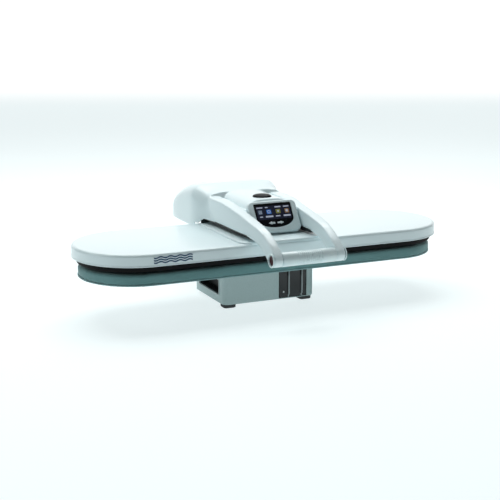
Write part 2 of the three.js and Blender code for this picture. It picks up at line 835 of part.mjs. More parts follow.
for (const [side, x] of [["left", -109], ["right", 109]]) {
  add(`foot_front_${side}`, foot(x, 130.5), "rubber");
  add(`foot_rear_${side}`, foot(x / 2, 366), "rubber");
}
add("floor_plate", floorPlate(), "steel");
add("base_shell", baseShell(), "warmGrey");
add("grip_pocket_left", gripPocket(-1, 24), "darkPlastic");
add("grip_pocket_right", gripPocket(1, 12), "darkPlastic");
add("top_deck", topDeck(), "warmGrey");
add("tower_shell", towerShell(), "warmGrey");
add("boiler", boiler(), "castMetal");
add("pump", pump(), "darkPlastic");
add("control_board", controlBoard(), "circuit");
add("mains_inlet", mainsInlet(), "darkPlastic");
add("steam_hose_base", steamHoseBase(), "hose");
add("tank_seat", tankSeat(), "rubber");
add("hinge_shaft", hingeShaft(), "steel");
add("board_beam_front", boardBeam(170), "steel");
add("board_beam_rear", boardBeam(250), "steel");
add("board_plate", boardPlate(), "steel");
add("board_pad", boardPad(), "fabric");

add("water_tank", waterTank(), "smoked");
add("tank_cap", tankCap(), "darkPlastic");
add("tank_valve", tankValve(), "rubber");

add("head_cover", headCover(), "white");
add("heat_shield", heatShield(), "steel");
add("insulation", insulation(), "felt");
add("heated_plate", heatedPlate(), "hotPlate");
add("heating_element", heatingElement(), "steel");
add("pivot_bracket", pivotBracket(), "steel");
add("steam_inlet", steamInlet(), "castMetal");

add("arm_hood", armHood(), "white");
add("arm_beam", armBeam(), "steel");
add("arm_tray", armTray(), "darkPlastic");
add("pivot_pin", pivotPin(), "steel");
add("steam_hose_arm", steamHoseArm(), "hose");
add("levelling_spring_front", levellingSpring(122), "spring");
add("levelling_spring_rear", levellingSpring(205), "spring");
add("handle_tube", handleTube(), "white");
add("console_housing", consoleHousing(), "white");
add("display_glass", displayGlass(), "glass");
add("display_module", displayModule(), "darkPlastic");
add("power_button", powerButton(), "darkPlastic");
add("power_switch", powerSwitch(), "darkPlastic");

for (const [side, name] of [[-1, "left"], [1, "right"]]) {
  add(`hinge_bracket_${name}`, hingeBracket(side), "steel");
  add(`hinge_bush_${name}`, hingeBush(side), "nylon");
  add(`torsion_spring_${name}`, torsionSpring(side), "spring");
  add(`side_rail_${name}`, sideRail(side), "white");
  add(`handle_ring_${name}`, handleRing(side), "white");
  add(`steam_button_${name}`, steamButton(side), "buttonRed");
  add(`arrow_key_${name}`, arrowKey(side), "keyWhite");
}

// The origin is under the middle of the press's own depth, from the handle's front to the hood's back.
press.position.y = -(HANDLE.y - HANDLE.eye + HOOD.back) / 2;

export default press;
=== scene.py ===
import json
import math

import bmesh
import bpy
from mathutils import Matrix, Vector, noise


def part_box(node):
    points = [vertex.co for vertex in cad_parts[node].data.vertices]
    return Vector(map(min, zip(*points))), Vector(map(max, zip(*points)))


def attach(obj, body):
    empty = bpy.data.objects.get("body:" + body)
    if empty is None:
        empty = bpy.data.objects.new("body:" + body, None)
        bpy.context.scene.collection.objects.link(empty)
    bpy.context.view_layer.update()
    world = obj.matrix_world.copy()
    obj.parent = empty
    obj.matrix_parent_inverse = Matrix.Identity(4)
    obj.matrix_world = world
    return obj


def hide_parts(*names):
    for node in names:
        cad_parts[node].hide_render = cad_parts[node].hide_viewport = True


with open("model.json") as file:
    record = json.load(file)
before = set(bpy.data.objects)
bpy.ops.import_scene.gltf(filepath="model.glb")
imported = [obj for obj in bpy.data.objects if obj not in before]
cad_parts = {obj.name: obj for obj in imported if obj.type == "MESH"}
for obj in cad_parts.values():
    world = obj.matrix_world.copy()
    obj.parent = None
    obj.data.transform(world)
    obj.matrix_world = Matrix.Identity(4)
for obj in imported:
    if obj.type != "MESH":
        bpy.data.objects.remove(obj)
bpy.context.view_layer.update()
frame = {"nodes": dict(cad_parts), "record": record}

# Camera, floor and lamps
# A large steam ironing press stands closed on a pale studio floor, seen from its front left corner.
# The sizes below are millimetres from the head's front edge, as the press is drawn.
head_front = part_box("heated_plate")[0].y - 0.012


def at(x, y, z):
    """A point of the press: millimetres across, back from the head's front edge, and up."""
    return Vector((x / 1000, y / 1000 + head_front, z / 1000))


scene = bpy.context.scene
lens = bpy.data.cameras.new("camera")
lens.lens, lens.sensor_width = 76.53, 36
camera = bpy.data.objects.new("camera", lens)
camera.location = (-1.1603, -2.4953, 0.7359)
camera.rotation_euler = (math.radians(77.538), 0, math.radians(-24.573))
scene.collection.objects.link(camera)
scene.camera = camera
scene.view_settings.view_transform = "Standard"


class Shade:
    """A shader socket. Sums and products of shades and numbers add their Math nodes."""

    def __init__(self, tree, socket=None):
        self.tree, self.socket = tree, socket

    def node(self, kind, settings, values, output=0):
        made = self.tree.nodes.new("ShaderNode" + kind)
        for name, value in settings.items():
            if name == "stops":
                for stop, (place, colour) in zip(made.color_ramp.elements, value):
                    stop.position, stop.color = place, colour
            else:
                setattr(made, name, value)
        for name, value in values.items():
            if isinstance(value, Shade):
                self.tree.links.new(value.socket, made.inputs[name])
            else:
                made.inputs[name].default_value = value
        return Shade(self.tree, made.outputs[output])

    def maths(self, operation, *terms):
        return self.node("Math", {"operation": operation}, dict(enumerate(terms)))

    def __add__(self, other):
        return self.maths("ADD", self, other)

    def __sub__(self, other):
        return self.maths("SUBTRACT", self, other)

    def __mul__(self, other):
        return self.maths("MULTIPLY", self, other)

    def __rsub__(self, other):
        return self.maths("SUBTRACT", other, self)

    __radd__ = __add__
    __rmul__ = __mul__

    def noise(self, place, scale, detail=2.0):
        return self.node("TexNoise", {}, {"Vector": place, "Scale": scale, "Detail": detail}, "Fac")

    def mix(self, share, first, second):
        made = self.tree.nodes.new("ShaderNodeMix")
        made.data_type = "RGBA"
        for socket, value in zip((made.inputs[0], made.inputs[6], made.inputs[7]), (share, first, second)):
            if isinstance(value, Shade):
                self.tree.links.new(value.socket, socket)
            else:
                socket.default_value = value
        return Shade(self.tree, made.outputs[2])


def finish(name, **settings):
    """A material with fixed shader values. Returns it, its Shade and its place in object coordinates."""
    material = bpy.data.materials.new(name)
    material.use_nodes = True
    tree = material.node_tree
    shader = tree.nodes["Principled BSDF"]
    for socket, value in settings.items():
        shader.inputs[socket.replace("_", " ")].default_value = value
    shade = Shade(tree)
    place = shade.node("TexCoord", {}, {}, "Object")
    return material, shade, place


def feed(material, **links):
    """Links shades to the named sockets of a material's shader."""
    shader = material.node_tree.nodes["Principled BSDF"]
    for socket, shade in links.items():
        material.node_tree.links.new(shade.socket, shader.inputs[socket.replace("_", " ")])


def bump(shade, height, strength, distance):
    return shade.node("Bump", {}, {"Height": height, "Strength": strength, "Distance": distance})


floor_finish, floor_shade, floor_place = finish(
    "studio_floor", Roughness=0.9, Specular_IOR_Level=0.1, Emission_Strength=1.0
)
floor_tone = floor_shade.noise(floor_place, 1.5)
far = floor_shade.node("SeparateXYZ", {}, {"Vector": floor_place}, "Z")
glow_stops = [(0.0, (0.68, 0.75, 0.76, 1)), (0.12, (1, 1, 1, 1))]
glow = floor_shade.node("ValToRGB", {"stops": glow_stops}, {"Fac": far})
feed(
    floor_finish,
    Base_Color=floor_shade.mix(floor_tone, (0.34, 0.355, 0.355, 1), (0.37, 0.385, 0.385, 1)),
    Emission_Color=glow,
)
sweep = bmesh.new()
REACH = 9.0
CURVE = 3.0
CURVE_STEPS = 16
profile = [(0, -REACH, 0), (0, REACH - CURVE, 0)]
for step in range(1, CURVE_STEPS + 1):
    angle = step / CURVE_STEPS * math.pi / 2
    profile.append((0, REACH - CURVE + CURVE * math.sin(angle), CURVE * (1 - math.cos(angle))))
profile.append((0, REACH, REACH))
line = [sweep.verts.new(point) for point in profile]
edges = [sweep.edges.new(pair) for pair in zip(line, line[1:])]
wall = bmesh.ops.extrude_edge_only(sweep, edges=edges)["geom"]
for vert in line:
    vert.co.x = -REACH
for item in wall:
    if isinstance(item, bmesh.types.BMVert):
        item.co.x = REACH
mesh = bpy.data.meshes.new("studio_sweep")
turn = Matrix.Rotation(camera.rotation_euler.z, 4, "Z")
sweep.transform(turn)
bmesh.ops.recalc_face_normals(sweep, faces=sweep.faces)
sweep.to_mesh(mesh)
mesh.shade_smooth()
sweep.free()
backdrop = bpy.data.objects.new("studio_sweep", mesh)
backdrop.data.materials.append(floor_finish)
scene.collection.objects.link(backdrop)

# The sky is seen white all round, but lights the press only a little.
SKY_LIGHT = 0.03
world = bpy.data.worlds.new("studio")
world.use_nodes = True
sky = Shade(world.node_tree).node("LightPath", {}, {}, "Is Camera Ray")
seen_sky = SKY_LIGHT + (1 - SKY_LIGHT) * sky
world.node_tree.nodes["Background"].inputs["Color"].default_value = (0.98, 1.0, 1.0, 1)
world.node_tree.links.new(seen_sky.socket, world.node_tree.nodes["Background"].inputs["Strength"])
scene.world = world


def lamp(name, place, target, size, power, colour):
    """A soft box that looks from its place at a target."""
    data = bpy.data.lights.new(name, "AREA")
    data.shape = "RECTANGLE"
    data.size, data.size_y = size
    data.energy, data.color = power, colour
    light = bpy.data.objects.new(name, data)
    light.location = place
    light.rotation_euler = (Vector(target) - Vector(place)).to_track_quat("-Z", "Y").to_euler()
    scene.collection.objects.link(light)


lamp("overhead_box", (0.1, 1.1, 2.6), (0, 0.1, 0.1), (3.2, 2.0), 92, (0.97, 1.0, 1.0))
lamp("left_box", (-3.2, 0.3, 1.5), (0, 0, 0.15), (1.6, 1.6), 17, (0.95, 1.0, 1.0))
lamp("right_box", (2.6, -1.8, 1.4), (0.2, 0, 0.15), (0.08, 1.2), 7, (1.0, 1.0, 0.98))

# Head cover
# Long white moulding over the heated plate, with fully rounded ends, a soft upper edge and a thin bead
# along its lower edge. A low raised seat in its middle carries the arm. Screwed up from inside.
MM = 0.001
PLATE_DEPTH = 0.318
PLATE_LENGTH = 1.010


def white_plastic(name, tone, grain=900.0):
    """Semi-gloss moulded plastic: a little orange peel, fine grain, and slightly uneven gloss."""
    material, shade, place = finish(name, Coat_Roughness=0.12, Coat_IOR=1.45, IOR=1.48)
    cloud = shade.noise(place, 7.0)
    fine = shade.noise(place, grain, 3.0)
    peel = shade.noise(place, 160.0, 1.0)
    darker = tuple(0.955 * part for part in tone) + (1,)
    feed(
        material,
        Base_Color=shade.mix(cloud, darker, tone + (1,)),
        Roughness=0.26 + 0.10 * cloud + 0.05 * fine,
        Coat_Weight=0.25 + 0.1 * peel,
        Normal=bump(shade, peel * 0.7 + fine * 0.3, 0.06, 0.0004),
    )
    return material


def stadium(bm, inset, z, segments=128):
    """The long plates' outline as one face, set in from the head's outline."""
    radius = PLATE_DEPTH / 2 - inset
    middle = Matrix.Translation((0, head_front + PLATE_DEPTH / 2, z))
    turn = Matrix.Rotation(math.pi / segments, 4, "Z")
    ring = bmesh.ops.create_circle(bm, cap_ends=True, radius=radius, segments=segments, matrix=middle @ turn)
    for vert in ring["verts"]:
        vert.co.x += math.copysign((PLATE_LENGTH - PLATE_DEPTH) / 2, vert.co.x)
    return ring["verts"][0].link_faces[0]


def lift(bm, face, shift, keep=False):
    """Extrudes one face by a vector and returns the moved face."""
    made = bmesh.ops.extrude_face_region(bm, geom=[face], use_keep_orig=keep)["geom"]
    top = next(item for item in made if isinstance(item, bmesh.types.BMFace))
    bmesh.ops.translate(bm, verts=top.verts, vec=shift)
    if not keep and face.is_valid:
        bm.faces.remove(face)
    return top


def up(height):
    return Vector((0, 0, height))


def step_in(bm, face, inward, rise=0.0):
    bmesh.ops.inset_region(bm, faces=[face], thickness=inward, depth=rise, use_even_offset=True)
    return face


def round_edges(bm, edges, radius, segments=4):
    bmesh.ops.bevel(
        bm, geom=list(edges), offset=radius, segments=segments, profile=0.5, affect="EDGES",
        material=-1, clamp_overlap=True,
    )


def make(bm, name, material, smooth=35.0):
    """Turns a closed bmesh into an object at the origin, with its faces outwards."""
    bmesh.ops.remove_doubles(bm, verts=bm.verts, dist=1e-6)
    bmesh.ops.recalc_face_normals(bm, faces=bm.faces)
    mesh = bpy.data.meshes.new(name)
    bm.to_mesh(mesh)
    bm.free()
    soften(mesh, smooth)
    thing = bpy.data.objects.new(name, mesh)
    mesh.materials.append(material)
    scene.collection.objects.link(thing)
    return thing


def soften(mesh, angle):
    mesh.shade_smooth()
    mesh.set_sharp_from_angle(angle=math.radians(angle))


def applied(thing):
    """Applies a piece's modifiers and returns it."""
    bpy.context.view_layer.update()
    shown = thing.evaluated_get(bpy.context.evaluated_depsgraph_get())
    mesh = bpy.data.meshes.new_from_object(shown)
    thing.modifiers.clear()
    thing.data = mesh
    return thing


def carve(thing, *tools, operation="DIFFERENCE"):
    """Cuts closed tools out of a piece, or joins them to it, and takes the tools away."""
    for tool in tools:
        cut = thing.modifiers.new("cut", "BOOLEAN")
        cut.operation, cut.object, cut.solver = operation, tool, "MANIFOLD"
    applied(thing)
    for tool in tools:
        bpy.data.objects.remove(tool)
    soften(thing.data, 35)
    return thing


def box(bm, low, high, corner=0.0, edge=0.0, segments=6):
    """A block between two corners, its upright edges rounded first and then its rims."""
    low, high = Vector(low), Vector(high)
    size = high - low
    shape = Matrix.Translation((low + high) / 2) @ Matrix.Diagonal((*size, 1))
    verts = bmesh.ops.create_cube(bm, size=1, matrix=shape)["verts"]
    if corner:
        upright = {
            e for v in verts for e in v.link_edges if abs(e.verts[0].co.z - e.verts[1].co.z) > size.z / 2
        }
        made = bmesh.ops.bevel(
            bm, geom=list(upright), offset=corner, segments=segments, profile=0.5, affect="EDGES",
            material=-1, clamp_overlap=True,
        )
        verts = {v for f in made["faces"] for v in f.verts} | {v for v in verts if v.is_valid}
    if edge:
        rims = {
            e for v in verts for e in v.link_edges
            if abs(e.verts[0].co.z - e.verts[1].co.z) < size.z / 9
            and min(abs(e.verts[0].co.z - low.z), abs(e.verts[0].co.z - high.z)) < 1e-6
            and len(e.link_faces) == 2
            and abs(e.link_faces[0].normal.z) + abs(e.link_faces[1].normal.z) < 1.5
        }
        round_edges(bm, rims, edge)


def block(name, low, high, corner=0.0, edge=0.0, segments=6):
    """A separate block, for cutting or joining."""
    bm = bmesh.new()
    box(bm, low, high, corner, edge, segments)
    return make(bm, name, cover_white)


cover_white = white_plastic("cover_white", (0.76, 0.885, 0.91))
bottom, top = 0.1573, 0.188
bm = bmesh.new()
face = stadium(bm, 0, bottom)
face = lift(bm, face, up(0.0022), keep=True)
face = step_in(bm, face, 0.0011, 0.0009)
face = lift(bm, face, up(top - bottom - 0.0031))
round_edges(bm, face.edges, 0.0075, 8)
under = min(bm.faces, key=lambda f: f.calc_center_median().z)
step_in(bm, under, 0.003)
lift(bm, under, up(top - bottom - 0.004))
cover = make(bm, "cover_moulding", cover_white)
seat = bmesh.new()
verts = bmesh.ops.create_cube(seat, size=1)["verts"]
low, high = at(-124, 2, 186), at(124, 285, 193)
shape = Matrix.Translation((low + high) / 2) @ Matrix.Diagonal((*(high - low), 1))
bmesh.ops.transform(seat, verts=verts, matrix=shape)
front = [e for e in seat.edges if abs(e.verts[0].co.z - e.verts[1].co.z) > 0.004 and e.verts[0].co.y < 0]
round_edges(seat, front, 0.040, 14)
rim = [e for e in seat.edges if all(abs(v.co.z - high.z) < 1e-6 for v in e.verts)]
round_edges(seat, rim, 0.0045, 5)
carve(cover, make(seat, "seat", cover_white), operation="UNION")
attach(cover, "head")
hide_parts("head_cover")

# Steam mark
# Three long wavy steam lines, printed in dark blue on the cover's front, near its left middle. The print
# is a fraction of a millimetre thick.
ink, shade, place = finish("steam_ink", Roughness=0.45)
feed(ink, Base_Color=shade.mix(shade.noise(place, 400.0), (0.010, 0.045, 0.11, 1), (0.02, 0.075, 0.16, 1)))
bm = bmesh.new()
for number in range(3):
    wave = bmesh.ops.create_grid(bm, x_segments=72, y_segments=1, size=0.5)["verts"]
    for vert in wave:
        x = -305 + 98 * vert.co.x
        z = 167.3 + 5.8 * number + 1.5 * math.sin(x * 2 * math.pi / 24.5) + 3.5 * vert.co.y
        vert.co = at(x, 0.75, z)
solid = bmesh.ops.extrude_face_region(bm, geom=list(bm.faces), use_keep_orig=True)["geom"]
bmesh.ops.translate(bm, verts=[v for v in solid if isinstance(v, bmesh.types.BMVert)], vec=(0, 0.0008, 0))
mark = make(bm, "steam_mark", ink)
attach(mark, "head")

# Heated plate, its shield and the board
# A black coated aluminium casting with a soft lower edge and rows of steam holes under it; a steel
# shield closes the gap to the cover. The board below is a pressed steel sheet with vent holes.


def cast(name, colour, metallic, roughness, grain, strength=0.12, **settings):
    """Coated or bare cast and sheet metal, with fine grain and slow changes of gloss."""
    material, shade, place = finish(name, Metallic=metallic, **settings)
    cloud = shade.noise(place, 9.0, 4.0)
    fine = shade.noise(place, grain, 3.0)
    low = tuple(0.8 * part for part in colour) + (1,)
    feed(
        material,
        Base_Color=shade.mix(cloud, low, colour + (1,)),
        Roughness=roughness + 0.12 * cloud + 0.08 * fine,
        Normal=bump(shade, fine, strength, 0.0003),
    )
    return material


def holes(rows, radius, low, high):
    """Upright round tools at (x, y) places, to cut holes with."""
    bm = bmesh.new()
    for x, y in rows:
        shape = Matrix.Translation(at(x, y, (low + high) / 2))
        bmesh.ops.create_cone(
            bm, cap_ends=True, segments=12, radius1=radius, radius2=radius,
            depth=(high - low) * MM, matrix=shape,
        )
    return make(bm, "holes", cover_white)


plate_black = cast("plate_black", (0.003, 0.0035, 0.004), 0.0, 0.5, 1400.0, Specular_IOR_Level=0.12)
sheet_steel = cast("sheet_steel", (0.42, 0.44, 0.45), 1.0, 0.3, 900.0)
cast_alloy = cast("cast_alloy", (0.36, 0.37, 0.38), 0.9, 0.45, 500.0, 0.4)
bm = bmesh.new()
face = stadium(bm, 0.012, 0.1435)
face = lift(bm, face, up(0.0135), keep=True)
step_in(bm, face, 0.006)
lift(bm, face, up(-0.007))
under = min(bm.faces, key=lambda f: f.calc_center_median().z)
round_edges(bm, under.edges, 0.002, 4)
sole = make(bm, "sole_plate", plate_black)
rows = []
for row in range(5):
    count = 15 - row % 2
    rows += [((i - (count - 1) / 2) * 56, 159 + (row - 2) * 42) for i in range(count)]
carve(sole, holes(rows, 0.0022, 140, 160))
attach(sole, "head")
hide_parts("heated_plate")

bm = bmesh.new()
face = stadium(bm, 0.0034, 0.1573)
lift(bm, face, up(0.0015), keep=True)
shield = make(bm, "shield_sheet", sheet_steel)
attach(shield, "head")
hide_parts("heat_shield")

bm = bmesh.new()
face = stadium(bm, 0.017, 0.1076)
lift(bm, face, up(0.004), keep=True)
board = make(bm, "board_sheet", sheet_steel)
vents = []
for row, y in enumerate((38, 74, 282, 246)):
    vents += [(x * 24 + 12 * (row % 2), y) for x in range(-16, 17) if abs(x) > 5]
carve(board, holes(vents, 0.0035, 100, 120))
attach(board, "root")
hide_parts("board_plate")

# Board padding
# Foam and felt under a teal cotton cover, pulled down round the board's edge and gathered by a cord in
# a rolled hem beneath it. It swells a little against the cover's stretch.
fabric, shade, place = finish("pad_cotton", Roughness=0.93, Sheen_Weight=0.35, Sheen_Roughness=0.5)
cut_up = shade.node("SeparateXYZ", {}, {"Vector": place}, "X")
axes = {letter: Shade(cut_up.tree, cut_up.socket.node.outputs[letter]) for letter in "XYZ"}
THREAD = 2 * math.pi / 0.0016


def thread(letter):
    return shade.maths("SINE", axes[letter] * THREAD)


weave = thread("X") * thread("Y") + thread("X") * thread("Z") + thread("Y") * thread("Z")
cloud = shade.noise(place, 14.0, 4.0)
fuzz = shade.noise(place, 700.0, 4.0)
tone = cloud * 0.6 + fuzz * 0.4
feed(
    fabric,
    Base_Color=shade.mix(tone, (0.11, 0.245, 0.25, 1), (0.16, 0.33, 0.335, 1)),
    Normal=bump(shade, weave * 0.25 + fuzz * 0.8, 0.55, 0.0007),
)
PAD_LOW, PAD_HIGH = (corner.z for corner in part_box("board_pad"))
bm = bmesh.new()
face = stadium(bm, 0.0134, PAD_LOW + 0.001)
face = lift(bm, face, up(PAD_HIGH - PAD_LOW - 0.002), keep=True)
round_edges(bm, face.edges, 0.007, 5)
pad = make(bm, "pad_cover", fabric)
grid = pad.modifiers.new("grid", "REMESH")
grid.mode, grid.voxel_size = "VOXEL", 0.006
applied(pad)
start = [vert.co.copy() for vert in pad.data.vertices]
held = pad.vertex_groups.new(name="held")
under = [v.index for v in pad.data.vertices if v.co.z < PAD_LOW + 0.004]
held.add(under, 1.0, "REPLACE")
SETTLE_FRAMES = 20
cloth = pad.modifiers.new("cloth", "CLOTH")
cloth.settings.use_pressure = True
cloth.settings.uniform_pressure_force = 4
cloth.settings.vertex_group_mass = "held"
cloth.settings.effector_weights.gravity = 0
for number in range(1, SETTLE_FRAMES + 1):
    scene.frame_set(number)
applied(pad)
pad.vertex_groups.clear()
SWELL = 0.0018
for vert, rest in zip(pad.data.vertices, start):
    move = vert.co - rest
    if move.length > SWELL:
        vert.co = rest + move * (SWELL / move.length)
smoother = pad.modifiers.new("smooth", "SUBSURF")
smoother.levels = smoother.render_levels = 1
applied(pad)


def edge_length(point):
    """How far round the plates' outline a point is, from the middle of the front, in metres."""
    straight = (PLATE_LENGTH - PLATE_DEPTH) / 2
    y = point.y - head_front - PLATE_DEPTH / 2
    if abs(point.x) < straight:
        return point.x if y < 0 else PLATE_LENGTH - point.x + math.pi * PLATE_DEPTH / 2
    angle = math.atan2(y, abs(point.x) - straight) + math.pi / 2
    return math.copysign(straight + angle * PLATE_DEPTH / 2, point.x)


def outward(point):
    """The level direction straight out of the plates' outline at a point."""
    straight = (PLATE_LENGTH - PLATE_DEPTH) / 2
    x = math.copysign(max(0.0, abs(point.x) - straight), point.x)
    return Vector((x, point.y - head_front - PLATE_DEPTH / 2, 0)).normalized()


TOP_LIMIT = PAD_HIGH + 0.0005
GATHER_TOP = 0.128
for vert in pad.data.vertices:
    out = outward(vert.co)
    near_edge = abs(vert.co.x) > 0.45 or abs(vert.co.y - head_front - PLATE_DEPTH / 2) > 0.125
    if near_edge and vert.co.z < GATHER_TOP:
        low_share = max(0.0, (GATHER_TOP - vert.co.z) / 0.02)
        way_round = edge_length(vert.co)
        gather = noise.noise(Vector((way_round * 75, vert.co.z * 20, 0)))
        slow = noise.noise(Vector((way_round * 14, vert.co.z * 30, 3)))
        vert.co += out * (0.0012 * gather * low_share ** 1.6 + 0.0010 * slow)
    ripple = noise.noise(vert.co * 22)
    vert.co.z += 0.0006 * ripple
    vert.co.z = max(PAD_LOW, min(TOP_LIMIT, vert.co.z))
bm = bmesh.new()
stretch = stadium(bm, 0.0166, 0.1)
lift(bm, stretch, up(0.0119), keep=True)
carve(pad, make(bm, "board_recess", fabric))
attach(pad, "root")
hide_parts("board_pad")

# The hem: the cover's own edge rolled round its drawstring, a little paler where the cloth is doubled.
hem_cloth, shade, place = finish("hem_cotton", Roughness=0.95, Sheen_Weight=0.4)
fuzz = shade.noise(place, 500.0, 4.0)
feed(
    hem_cloth,
    Base_Color=shade.mix(fuzz, (0.13, 0.27, 0.28, 1), (0.24, 0.40, 0.41, 1)),
    Normal=bump(shade, fuzz, 0.7, 0.001),
)
bm = bmesh.new()
face = stadium(bm, 0.0142, 0.1076, 512)
face = lift(bm, face, up(0.0042), keep=True)
step_in(bm, face, 0.0042)
bmesh.ops.delete(bm, geom=[face], context="FACES_ONLY")
under = min(bm.faces, key=lambda f: (f.calc_center_median().z, -f.calc_area()))
step_in(bm, under, 0.0042)
bmesh.ops.delete(bm, geom=[under], context="FACES_ONLY")
gap = [e for e in bm.edges if len(e.link_faces) == 1]
bmesh.ops.bridge_loops(bm, edges=gap)
rims = [e for e in bm.edges if e.link_faces[0].normal.dot(e.link_faces[1].normal) < 0.3]
round_edges(bm, rims, 0.0018, 3)
for vert in bm.verts:
    pinch = noise.noise(Vector((edge_length(vert.co) * 190, 0, 5)))
    vert.co += outward(vert.co) * 0.0006 * pinch
    vert.co.z += 0.0005 * noise.noise(Vector((edge_length(vert.co) * 160, 4, 5)))
    vert.co.z = max(0.1074, vert.co.z)
hem = make(bm, "pad_hem", hem_cloth)
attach(hem, "root")

# Base casing
# Grey-green, finely speckled moulding under the board, with a lifting hole in each side, a bay for the
# water tank and a fluted column at its right front corner. A flat deck closes it; four rubber feet carry it.


def grey_plastic(name, tone):
    """Textured grey moulding with fine dark and pale specks all through it."""
    material, shade, place = finish(name, IOR=1.46)
    cloud = shade.noise(place, 10.0, 3.0)
    speck = shade.noise(place, 420.0, 2.0)
    dark = shade.node("ValToRGB", {"stops": [(0.34, (0, 0, 0, 1)), (0.46, (1, 1, 1, 1))]}, {"Fac": speck})
    pale = shade.node("ValToRGB", {"stops": [(0.60, (0, 0, 0, 1)), (0.68, (1, 1, 1, 1))]}, {"Fac": speck})
    low = tuple(0.92 * part for part in tone) + (1,)
    high = tuple(min(1.0, 1.07 * part) for part in tone) + (1,)
    specked = shade.mix(dark, low, tone + (1,))
    feed(
        material,
        Base_Color=shade.mix(pale * 0.7, specked, high),
        Roughness=0.42 + 0.12 * cloud,
        Normal=bump(shade, speck, 0.08, 0.0004),
    )
    return material


casing_grey = grey_plastic("casing_grey", (0.42, 0.55, 0.55))
soft_black = cast("soft_black", (0.014, 0.016, 0.017), 0.0, 0.38, 800.0, 0.25)
bm = bmesh.new()
box(bm, at(-129.3, 110, 10), at(129.3, 309, 98), 0.014, 0.0, 8)
base = make(bm, "base_moulding", casing_grey)
flutes = []
for x in (111.5, 115.5, 119.5, 123.5):
    rod = bmesh.new()
    shape = Matrix.Translation(at(x, 110.9, 54))
    bmesh.ops.create_cone(
        rod, cap_ends=True, segments=20, radius1=0.0017, radius2=0.0017, depth=0.080, matrix=shape
    )
    flutes.append(make(rod, "flute", casing_grey))
# The flutes lie half in the wall, and stand just proud of the front face.
inner = block("inner", at(-126.3, 113, 5), at(126.3, 306, 105), 0.011)
bay = block("bay", at(26.7, 100, 11.6), at(108.3, 130, 95.2))
cap_way = block("cap_way", at(48, 100, 94), at(86, 114, 105))
grips = block("grips", at(-140, 143, 32), at(140, 277, 70))
back_way = block("back_way", at(-70, 299, 5), at(70, 315, 80))
carve(base, *flutes, operation="UNION")
carve(base, inner, bay, cap_way, grips, back_way)
edge = base.modifiers.new("edge", "BEVEL")
edge.width, edge.segments, edge.limit_method, edge.angle_limit = 0.0012, 3, "ANGLE", math.radians(50)
edge.harden_normals = True
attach(base, "root")
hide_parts("base_shell")

# A pale rim is snapped into each lifting hole.
rim_grey = grey_plastic("rim_grey", (0.42, 0.50, 0.50))
for side, name in ((-1, "left"), (1, "right")):
    bm = bmesh.new()
    middle = at(side * 129.0, 210, 51)
    shape = Matrix.Translation(middle) @ Matrix.Diagonal((0.0036, 0.142, 0.046, 1))
    bmesh.ops.create_cube(bm, size=1, matrix=shape)
    across = [e for e in bm.edges if abs(e.verts[0].co.x - e.verts[1].co.x) > 0.001]
    round_edges(bm, across, 0.006, 6)
    sides = [f for f in bm.faces if abs(f.normal.x) > 0.9]
    bmesh.ops.inset_region(bm, faces=sides, thickness=0.0040)
    bmesh.ops.delete(bm, geom=sides, context="FACES_ONLY")
    bmesh.ops.bridge_loops(bm, edges=[e for e in bm.edges if len(e.link_faces) == 1])
    rims = [e for e in bm.edges if e.link_faces[0].normal.dot(e.link_faces[1].normal) < 0.3]
    round_edges(bm, rims, 0.0010, 3)
    rim = make(bm, f"grip_rim_{name}", rim_grey)
    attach(rim, "root")

bm = bmesh.new()
box(bm, at(-129.3, 110, 98.3), at(129.3, 309, 101.5), 0.014, 0.0009, 8)
deck = make(bm, "deck_moulding", casing_grey)
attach(deck, "root")
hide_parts("top_deck")

rubber = cast("foot_rubber", (0.05, 0.053, 0.056), 0.0, 0.72, 700.0, 0.6)
for name in ("foot_front_left", "foot_front_right", "foot_rear_left", "foot_rear_right"):
    low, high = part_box(name)
    bm = bmesh.new()
    box(bm, low, high, 0.009, 0.0022, 8)
    bm.faces.ensure_lookup_table()
    sole_face = min(bm.faces, key=lambda f: f.calc_center_median().z)
    step_in(bm, sole_face, 0.004)
    step_in(bm, sole_face, 0.0006, -0.0012)
    foot = make(bm, name + "_pad", rubber)
    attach(foot, "root")
    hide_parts(name)

# Tower
# The grey column behind the base that carries the hinge. Its back has a louvred vent, the appliance
# inlet with three steel pins, and four cross-headed screws.
bm = bmesh.new()
box(bm, at(-75, 324, 10), at(75, 382, 170), 0.012, 0.0, 8)
tower = make(bm, "tower_moulding", casing_grey)
link = block("link", at(-75, 309.3, 10), at(75, 345, 98))
carve(tower, link, operation="UNION")
hollow = block("hollow", at(-72, 327, 5), at(72, 379, 175), 0.009)
link_hollow = block("link_hollow", at(-71.9, 305, 4), at(71.9, 345, 95))
inlet_way = block("inlet_way", at(-14.3, 372, 29.7), at(14.3, 390, 50.3))
louvres = [block("louvre", at(-42, 372, z), at(42, 390, z + 3.2)) for z in range(84, 150, 8)]
carve(tower, hollow, link_hollow, inlet_way, *louvres)
edge = tower.modifiers.new("edge", "BEVEL")
edge.width, edge.segments, edge.limit_method, edge.angle_limit = 0.0009, 2, "ANGLE", math.radians(50)
edge.harden_normals = True
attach(tower, "root")
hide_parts("tower_shell")


def turned(bm, profile, centre, axis, steps=64):
    """Spins a profile of (radius, distance along the axis) pairs in millimetres about an axis."""
    axis = Vector(axis).normalized()
    side = axis.orthogonal().normalized()
    line = [bm.verts.new(centre + (side * r + axis * h) * MM) for r, h in profile]
    edges = [bm.edges.new(pair) for pair in zip(line, line[1:])]
    bmesh.ops.spin(
        bm, geom=line + edges, cent=centre, axis=axis, angle=2 * math.pi, steps=steps, use_merge=True
    )


bright_steel = cast("bright_steel", (0.55, 0.56, 0.57), 1.0, 0.22, 1200.0)


